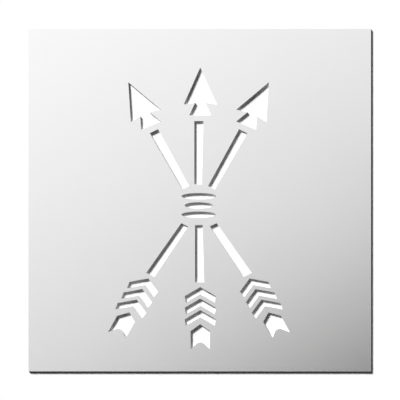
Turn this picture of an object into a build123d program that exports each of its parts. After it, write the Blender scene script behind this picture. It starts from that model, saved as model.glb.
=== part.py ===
from build123d import *
from math import cos, radians, sin, tan
import os

# Craft stencil: one square of sheet aluminium, cut through with a sheaf of three arrows.
# One arrow stands upright, two lean across it, and three short slots read as the binding.
# Bridges of sheet between the cuts keep the whole stencil in one piece.
# Millimetres. The sheet lies flat: X across the figure, Y up the figure, Z out of the sheet.
# The figure is drawn from the middle of its binding, and the borders then set the sheet round it.

# Sheet
sheet_thickness = 2.0
edge_break = 0.1
border_top = 33.95
border_bottom = 19.55
border_left = 69.75
border_right = 71.05

# Binding: three elliptical slots, the middle one shorter
wrap_width = 30.15
middle_wrap_width = 24.6
wrap_height = 5.5
wrap_bridge = 2.6

# Arrowhead: a barbed point, a narrow neck and a flared collar behind it
barb_width = 28.95
barb_depth = 32.4
neck_width = 8.9
neck_rise = 1.6
collar_width = 19.2
collar_length = 11.05

# Fletching: a row of chevrons, pointing the way the arrow flies
chevron_count = 3
chevron_width = 27.35
chevron_slope = 30.4
chevron_band = 6.2
chevron_bridge = 3.9
chevron_end_inset = 1.0

# Nock: a pointed block with an arch cut into its back
nock_width = 16.95
nock_shoulder = 6.15
nock_foot_width = 16.65
nock_side = 15.65
nock_arch = 5.75
nock_knee = 3.95
nock_knee_width = 7.75

# Shafts narrow towards the binding
shaft_outer_width = 7.95
shaft_inner_width = 6.6
nock_bridge = 6.05

# Upright arrow: its shafts keep their left edges upright, and only their right edges slant
upright_offset = 1.35
upright_upper_left = -3.85
upright_lower_left = -3.25
upright_upper_gap = 7.65
upright_upper_shaft = 55.3
upright_head_bridge = 5.1
upright_lower_gap = 6.4
upright_lower_shaft = 50.05
upright_tail_bridge = 4.2

# Leaning arrows: a mirrored pair, whose shafts meet the binding side by side
# The mirror axis runs a little left of the middle above the binding, a little right of it below
leaning_upper_axis = -0.15
leaning_upper_foot = 11.3
leaning_upper_gap = 4.7
leaning_upper_shaft = 56.7
leaning_upper_angle = 29.35
leaning_head_bridge = 5.55
leaning_lower_axis = 0.2
leaning_lower_foot = 12.5
leaning_lower_gap = 6.1
leaning_lower_shaft = 53.2
leaning_lower_angle = 34.45
leaning_tail_bridge = 3.55
leaning_shaft_end_angle = 25.45

# Heads and tails of the pair are skewed: turned first, then squeezed in height
head_turn = 25.0
head_squeeze = 0.89
tail_turn = 23.45
tail_squeeze = 0.781

# Worked-out sizes
wrap_pitch = wrap_height + wrap_bridge
binding_half = wrap_pitch + wrap_height / 2
head_length = barb_depth - neck_rise + collar_length
chevron_pitch = chevron_band + chevron_bridge
nock_length = nock_shoulder + nock_side
nock_back = (chevron_count - 1) * chevron_pitch + chevron_band + nock_bridge


def polar(length, angle):
    """Step of this length, leaning by this angle to the right of straight up."""
    return Vector(length * sin(radians(angle)), length * cos(radians(angle)))


def skewed(across, back, turn, squeeze):
    """Step across and back in an arrow that is turned and then squeezed in height."""
    turned = radians(turn)
    x = across * cos(turned) - back * sin(turned) / squeeze
    y = -across * sin(turned) * squeeze - back * cos(turned)
    return Vector(x, y)


def mirrored_points(half):
    """Outline from the points on its right side, listed from front to back."""
    return half + [(-across, back) for across, back in reversed(half) if across]


def placed(local_points, front, turn, squeeze, side):
    """Points of an arrow piece in the sheet; side -1 gives the mirror image."""
    steps = [front + skewed(across, back, turn, squeeze) for across, back in local_points]
    return [(side * step.X, step.Y) for step in steps]


def outline(points):
    return make_face(Polyline(*points, close=True))


def head(front, turn, squeeze, side):
    half = [
        (0, 0),
        (barb_width / 2, barb_depth),
        (neck_width / 2, barb_depth - neck_rise),
        (collar_width / 2, head_length),
    ]
    return outline(placed(mirrored_points(half), front, turn, squeeze, side))


def chevron(front, turn, squeeze, side):
    outer = chevron_width / 2
    inner = outer - chevron_end_inset
    rise = tan(radians(chevron_slope))
    right = [(0, 0), (outer, outer * rise), (inner, chevron_band + inner * rise)]
    left = [(-across, back) for across, back in reversed(right[1:])]
    return outline(placed(right + [(0, chevron_band)] + left, front, turn, squeeze, side))


def nock(front, turn, squeeze, side):
    half = [
        (0, 0),
        (nock_width / 2, nock_shoulder),
        (nock_foot_width / 2, nock_length),
        (nock_knee_width / 2, nock_length - nock_knee),
    ]
    points = placed(mirrored_points(half), front, turn, squeeze, side)
    arch_top = placed([(0, nock_length - nock_arch)], front, turn, squeeze, side)[0]
    right_knee = points[len(half) - 1]
    left_knee = points[len(half)]
    sides = Polyline(*points[len(half):], *points[:len(half)])
    return make_face(sides + ThreePointArc(right_knee, arch_top, left_knee))


def tail(front, turn, squeeze, side):
    """Row of chevrons with the nock behind them."""
    pieces = []
    for number in range(chevron_count):
        apex = front + skewed(0, number * chevron_pitch, turn, squeeze)
        pieces.append(chevron(apex, turn, squeeze, side))
    pieces.append(nock(front + skewed(0, nock_back, turn, squeeze), turn, squeeze, side))
    return pieces


def shaft(inner_end, outer_end, end_angle, side):
    """Tapered slot between two end middles, with both ends cut at the same angle."""
    across = Vector(cos(radians(end_angle)), -sin(radians(end_angle)))
    corners = [
        inner_end - across * (shaft_inner_width / 2),
        inner_end + across * (shaft_inner_width / 2),
        outer_end + across * (shaft_outer_width / 2),
        outer_end - across * (shaft_outer_width / 2),
    ]
    return outline([(side * corner.X, corner.Y) for corner in corners])


def binding():
    slots = []
    for level in (-1, 0, 1):
        width = wrap_width if level else middle_wrap_width
        slots.append(Pos(0, level * wrap_pitch) * Ellipse(width / 2, wrap_height / 2))
    return slots


def upright_arrow():
    upper_foot = Vector(upright_upper_left + shaft_inner_width / 2, binding_half + upright_upper_gap)
    upper_end = Vector(upright_upper_left + shaft_outer_width / 2, upper_foot.Y + upright_upper_shaft)
    tip = Vector(upright_offset, upper_end.Y + upright_head_bridge + head_length)
    lower_foot = Vector(upright_lower_left + shaft_inner_width / 2, -binding_half - upright_lower_gap)
    lower_end = Vector(upright_lower_left + shaft_outer_width / 2, lower_foot.Y - upright_lower_shaft)
    apex = Vector(upright_offset, lower_end.Y - upright_tail_bridge)
    return [
        head(tip, 0, 1, 1),
        shaft(upper_foot, upper_end, 0, 1),
        shaft(lower_foot, lower_end, 0, 1),
        *tail(apex, 0, 1, 1),
    ]


def leaning_arrow(side):
    """Side 1 has its head on the right and its tail on the left."""
    upper_foot = Vector(leaning_upper_foot, binding_half + leaning_upper_gap)
    upper_end = upper_foot + polar(leaning_upper_shaft, leaning_upper_angle)
    head_axis = skewed(0, -1, head_turn, head_squeeze)
    base = upper_end + head_axis.normalized() * leaning_head_bridge
    lower_foot = Vector(-leaning_lower_foot, -binding_half - leaning_lower_gap)
    lower_end = lower_foot - polar(leaning_lower_shaft, leaning_lower_angle)
    tail_axis = skewed(0, 1, tail_turn, tail_squeeze)
    apex = lower_end + tail_axis.normalized() * leaning_tail_bridge
    upper_half = [
        head(base + head_axis * head_length, head_turn, head_squeeze, side),
        shaft(upper_foot, upper_end, leaning_shaft_end_angle, side),
    ]
    lower_half = [
        shaft(lower_foot, lower_end, leaning_shaft_end_angle, side),
        *tail(apex, tail_turn, tail_squeeze, side),
    ]
    return [
        *[Pos(leaning_upper_axis, 0) * piece for piece in upper_half],
        *[Pos(leaning_lower_axis, 0) * piece for piece in lower_half],
    ]


def stencil_plate():
    """Sheet set round the figure by its borders, with every opening cut right through."""
    openings = [*binding(), *upright_arrow(), *leaning_arrow(1), *leaning_arrow(-1)]
    boxes = [opening.bounding_box() for opening in openings]
    left = min(box.min.X for box in boxes) - border_left
    right = max(box.max.X for box in boxes) + border_right
    bottom = min(box.min.Y for box in boxes) - border_bottom
    top = max(box.max.Y for box in boxes) + border_top
    sheet = Box(right - left, top - bottom, sheet_thickness, align=(Align.CENTER, Align.CENTER, Align.MIN))
    flat_faces = sheet.faces().sort_by(Axis.Z)
    sheet = chamfer(flat_faces[0].edges() + flat_faces[-1].edges(), edge_break)
    overrun = sheet_thickness
    cut_depth = sheet_thickness + 2 * overrun
    shift = Pos(-(left + right) / 2, -(bottom + top) / 2, -overrun)
    cutters = [shift * extrude(opening, amount=cut_depth, dir=(0, 0, 1)) for opening in openings]
    return sheet - cutters


os.makedirs("parts", exist_ok=True)
plate = stencil_plate()
plate.label = "stencil_plate"
export_step(plate, "parts/stencil_plate.step")
size = plate.bounding_box().size
print(f"sheet {size.X:.2f} x {size.Y:.2f} x {size.Z:.2f} mm, volume {plate.volume / 1000:.1f} cm3")
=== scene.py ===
import math

import bpy
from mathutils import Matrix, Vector


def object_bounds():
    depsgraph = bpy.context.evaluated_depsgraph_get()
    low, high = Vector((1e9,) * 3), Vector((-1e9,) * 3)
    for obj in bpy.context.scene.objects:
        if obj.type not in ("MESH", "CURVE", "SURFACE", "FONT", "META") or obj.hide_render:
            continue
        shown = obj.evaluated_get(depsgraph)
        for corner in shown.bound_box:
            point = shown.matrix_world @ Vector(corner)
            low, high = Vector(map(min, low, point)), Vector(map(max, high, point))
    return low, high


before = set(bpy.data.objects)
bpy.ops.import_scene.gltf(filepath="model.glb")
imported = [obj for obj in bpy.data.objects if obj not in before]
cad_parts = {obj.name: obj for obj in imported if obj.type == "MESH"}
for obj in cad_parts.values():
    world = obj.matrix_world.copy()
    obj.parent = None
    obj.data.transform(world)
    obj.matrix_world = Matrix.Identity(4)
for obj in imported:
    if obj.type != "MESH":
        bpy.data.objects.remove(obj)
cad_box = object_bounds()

# The stencil lies flat on a white floor and is seen from straight above, with the arrowheads up.
# Lengths are in metres, angles in degrees, and tones run from 0, black, to 1, white.

# Camera: the sheet's middle sits a little left of the frame's middle, as in the photograph
FRAME_WIDTH = 0.3502
FRAME_CENTRE_X = 0.00028
LENS_MM = 200.0
SENSOR_MM = 36.0

# Key lamp from the upper left: how far the sheet's shadow falls to the right and down, how wide
# the lamp looks from the sheet, and the tone that it gives the floor
SHADOW_RIGHT = 0.00205
SHADOW_DOWN = 0.0026
KEY_ANGLE = 14.0
KEY_ON_FLOOR = 0.965

# White floor just under the sheet, and a dim light from all round
WHITE = (1, 1, 1, 1)
FLOOR_GAP = 0.0001
FLOOR_SIZE = 40.0
FILL = 0.045

# Grain of the metal: cells of noise per metre along X, Y and Z
BRUSHED_GRAIN = (35, 4200, 35)
SATIN_GRAIN = (2600, 2600, 2600)
HANDLING_GRAIN = (9, 9, 9)
HANDLING_TURN = 25.0
STRIATION_GRAIN = (5200, 5200, 120)

# Noise behind the grain: its detail in broad and in fine grain, the share of its strength that each
# finer level keeps, and the span that most of it fills
BROAD_DETAIL = 3.0
FINE_DETAIL = 2.0
LEVEL_SHARE = 0.55
NOISE_SPAN = (0.3, 0.7)

# Relief of the grain
BUMP_STRENGTH = 0.25
BUMP_DEPTH = 0.00002

# Green and blue of the metal as a share of its red: a faintly warm grey
GREEN_BLUE_SHARE = 0.992

# Faces of the sheet
FACE_TONE = (0.85, 0.87)
FACE_ROUGHNESS = (0.145, 0.175)
HANDLING_ROUGHNESS = (-0.01, 0.01)

# Walls of the cuts and of the rim: a face changes to a wall as the upward part of its normal falls
# from the first of these to the second
WALL_UPWARD = (0.6, 0.3)
WALL_METALLIC = 0.3
WALL_ROUGHNESS = (0.45, 0.60)
CUT_TONE = (0.70, 0.80)
# Rim walls: painted shade, near black, so the floor's shadow beside the sheet's outer edge comes out
# darker
RIM_SHADE_TONE = (0.05, 0.08)

# The rim's walls are painted near black, a painted shade that deepens the floor's shadow along the
# sheet's outer edge; the rim starts at this share of the way out to its edge
RIM_SHADE_FROM = (0.97, 0.98)

# Studio that the metal mirrors: overhead a soft panel and a broad ramp, both brighter towards the
# upper left, and lower down a pale grey surround with soft upright strips
STUDIO_TURN = 120.2
PANEL_EDGE = (-0.114, -0.064)
PANEL_TONE = 0.59
RAMP_EDGE = (-0.237, 0.237)
RAMP_TONE = 0.683
SURROUND_HEIGHT = (0.88, 0.62)
SURROUND_TONE = (0.48, 0.90)
STRIP_COUNT = 8


def feed(tree, value, socket):
    """Sets a plain number on the socket, or links it to another node's output."""
    if isinstance(value, (int, float)):
        socket.default_value = value
    else:
        tree.links.new(value, socket)


def node(tree, kind, **inputs):
    """New node; inputs set its sockets' values by name, with _ for a space."""
    made = tree.nodes.new(kind)
    for name, value in inputs.items():
        made.inputs[name.replace("_", " ")].default_value = value
    return made


def maths(tree, operation, first, second=0.0):
    made = tree.nodes.new("ShaderNodeMath")
    made.operation = operation
    for socket, value in zip(made.inputs, (first, second)):
        feed(tree, value, socket)
    return made.outputs[0]


def mapped(tree, value, low, high, to_low, to_high, smooth=False):
    made = node(tree, "ShaderNodeMapRange", From_Min=low, From_Max=high, To_Min=to_low, To_Max=to_high)
    if smooth:
        made.interpolation_type = "SMOOTHSTEP"
    feed(tree, value, made.inputs["Value"])
    return made.outputs["Result"]


def mixed(tree, factor, first, second):
    made = tree.nodes.new("ShaderNodeMix")
    for name, value in (("Factor", factor), ("A", first), ("B", second)):
        feed(tree, value, made.inputs[name])
    return made.outputs["Result"]


def components(tree, vector):
    """X, Y and Z of a vector."""
    split = tree.nodes.new("ShaderNodeSeparateXYZ")
    feed(tree, vector, split.inputs[0])
    return split.outputs["X"], split.outputs["Y"], split.outputs["Z"]


def grain(tree, scale, detail, rotation=0.0):
    """Noise in the object's own metres, with its own scale along each axis."""
    place = tree.nodes.new("ShaderNodeTexCoord")
    turn = node(tree, "ShaderNodeMapping", Scale=scale, Rotation=(0, 0, math.radians(rotation)))
    noise = node(tree, "ShaderNodeTexNoise", Scale=1.0, Detail=detail, Roughness=LEVEL_SHARE)
    feed(tree, place.outputs["Object"], turn.inputs["Vector"])
    feed(tree, turn.outputs["Vector"], noise.inputs["Vector"])
    return noise.outputs["Fac"]


def spread(tree, noise, low, high):
    """The span that most of the noise fills, spread from low to high."""
    return mapped(tree, noise, *NOISE_SPAN, low, high)


def new_material(name, shader_kind):
    """Material with one shader, linked to its output."""
    material = bpy.data.materials.new(name)
    material.use_nodes = True
    tree = material.node_tree
    tree.nodes.clear()
    shader = tree.nodes.new(shader_kind)
    output = tree.nodes.new("ShaderNodeOutputMaterial")
    feed(tree, shader.outputs[0], output.inputs["Surface"])
    return material, tree, shader


def rim_shade_mask(tree):
    """1 near the sheet's outline, where the walls get painted shade, 0 over the rest of it."""
    place = tree.nodes.new("ShaderNodeTexCoord")
    x, y, _ = components(tree, place.outputs["Object"])
    reach = [
        maths(tree, "DIVIDE", maths(tree, "ABSOLUTE", value), half_side)
        for value, half_side in ((x, cad_box[1].x), (y, cad_box[1].y))
    ]
    return mapped(tree, maths(tree, "MAXIMUM", *reach), *RIM_SHADE_FROM, 0.0, 1.0)


def satin_aluminium():
    """Fine satin metal on the faces, matt cut metal with upright striations on the walls, and rim
    walls painted near black as painted shade beside the sheet's outer edge.
    """
    material, tree, shader = new_material("satin_aluminium", "ShaderNodeBsdfPrincipled")
    brushed = grain(tree, BRUSHED_GRAIN, BROAD_DETAIL)
    satin = grain(tree, SATIN_GRAIN, FINE_DETAIL)
    handling = grain(tree, HANDLING_GRAIN, BROAD_DETAIL, HANDLING_TURN)
    striation = grain(tree, STRIATION_GRAIN, FINE_DETAIL)

    geometry = tree.nodes.new("ShaderNodeNewGeometry")
    _, _, upward = components(tree, geometry.outputs["Normal"])
    wall = mapped(tree, maths(tree, "ABSOLUTE", upward), *WALL_UPWARD, 0.0, 1.0)
    feed(tree, mapped(tree, wall, 0.0, 1.0, 1.0, WALL_METALLIC), shader.inputs["Metallic"])

    face_tone = spread(tree, brushed, *FACE_TONE)
    cut_tone = spread(tree, striation, *CUT_TONE)
    # The rim walls' near-black tone is painted shade: it darkens the floor's shadow along the sheet's
    # outer edge
    rim_shade_tone = spread(tree, striation, *RIM_SHADE_TONE)
    wall_tone = mixed(tree, rim_shade_mask(tree), cut_tone, rim_shade_tone)
    red = mixed(tree, wall, face_tone, wall_tone)
    green_blue = maths(tree, "MULTIPLY", red, GREEN_BLUE_SHARE)
    colour = tree.nodes.new("ShaderNodeCombineColor")
    for channel, value in (("Red", red), ("Green", green_blue), ("Blue", green_blue)):
        feed(tree, value, colour.inputs[channel])
    feed(tree, colour.outputs[0], shader.inputs["Base Color"])

    brushed_rough = spread(tree, brushed, *FACE_ROUGHNESS)
    face_rough = maths(tree, "ADD", brushed_rough, spread(tree, handling, *HANDLING_ROUGHNESS))
    wall_rough = spread(tree, striation, *WALL_ROUGHNESS)
    feed(tree, mixed(tree, wall, face_rough, wall_rough), shader.inputs["Roughness"])

    height = mixed(tree, wall, maths(tree, "ADD", brushed, satin), striation)
    bump = node(tree, "ShaderNodeBump", Strength=BUMP_STRENGTH, Distance=BUMP_DEPTH)
    feed(tree, height, bump.inputs["Height"])
    feed(tree, bump.outputs[0], shader.inputs["Normal"])
    return material


def white_floor():
    material, _, shader = new_material("white_floor", "ShaderNodeBsdfDiffuse")
    shader.inputs["Color"].default_value = WHITE
    return material


def add_floor():
    level = cad_box[0].z - FLOOR_GAP
    bpy.ops.mesh.primitive_plane_add(size=FLOOR_SIZE, location=(0, 0, level))
    floor = bpy.context.object
    floor.name = "floor"
    floor.data.materials.append(white_floor())


def add_world():
    """White to the camera, a dim even fill, and a studio for the metal to mirror."""
    world = bpy.data.worlds.new("studio")
    bpy.context.scene.world = world
    world.use_nodes = True
    tree = world.node_tree
    tree.nodes.clear()
    rays = tree.nodes.new("ShaderNodeLightPath")
    direction = tree.nodes.new("ShaderNodeTexCoord")
    x, y, z = components(tree, direction.outputs["Generated"])

    turn = math.radians(STUDIO_TURN)
    towards = maths(
        tree, "ADD",
        maths(tree, "MULTIPLY", x, math.cos(turn)),
        maths(tree, "MULTIPLY", y, math.sin(turn)),
    )
    panel = mapped(tree, towards, *PANEL_EDGE, 0.0, PANEL_TONE, smooth=True)
    ramp = mapped(tree, towards, *RAMP_EDGE, 0.0, RAMP_TONE, smooth=True)
    overhead = maths(tree, "ADD", panel, ramp)
    bearing = maths(tree, "ARCTAN2", y, x)
    strips = maths(tree, "SINE", maths(tree, "MULTIPLY", bearing, STRIP_COUNT))
    surround = mapped(tree, strips, -1.0, 1.0, *SURROUND_TONE)
    low = mapped(tree, z, *SURROUND_HEIGHT, 0.0, 1.0, smooth=True)
    mirrored = mixed(tree, low, overhead, surround)

    unseen = mixed(tree, rays.outputs["Is Glossy Ray"], FILL, mirrored)
    strength = mixed(tree, rays.outputs["Is Camera Ray"], unseen, 1.0)
    background = node(tree, "ShaderNodeBackground", Color=WHITE)
    feed(tree, strength, background.inputs["Strength"])
    output = tree.nodes.new("ShaderNodeOutputWorld")
    feed(tree, background.outputs[0], output.inputs["Surface"])


def add_key():
    """Distant lamp that the metal doesn't mirror."""
    thickness = cad_box[1].z - cad_box[0].z
    travel = Vector((SHADOW_RIGHT, -SHADOW_DOWN, -thickness)).normalized()
    lamp = bpy.data.lights.new("key", "SUN")
    lamp.energy = KEY_ON_FLOOR * math.pi / -travel.z
    lamp.angle = math.radians(KEY_ANGLE)
    key = bpy.data.objects.new("key", lamp)
    key.rotation_mode = "QUATERNION"
    key.rotation_quaternion = travel.to_track_quat("-Z", "Y")
    key.visible_glossy = False
    bpy.context.collection.objects.link(key)


def add_camera():
    data = bpy.data.cameras.new("camera")
    data.lens = LENS_MM
    data.sensor_width = SENSOR_MM
    camera = bpy.data.objects.new("camera", data)
    distance = FRAME_WIDTH * LENS_MM / SENSOR_MM
    camera.location = (FRAME_CENTRE_X, 0, cad_box[1].z + distance)
    bpy.context.collection.objects.link(camera)
    bpy.context.scene.camera = camera


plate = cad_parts["stencil_plate"]
plate.data.materials.clear()
plate.data.materials.append(satin_aluminium())

add_floor()
add_world()
add_key()
add_camera()
bpy.context.scene.view_settings.view_transform = "Standard"
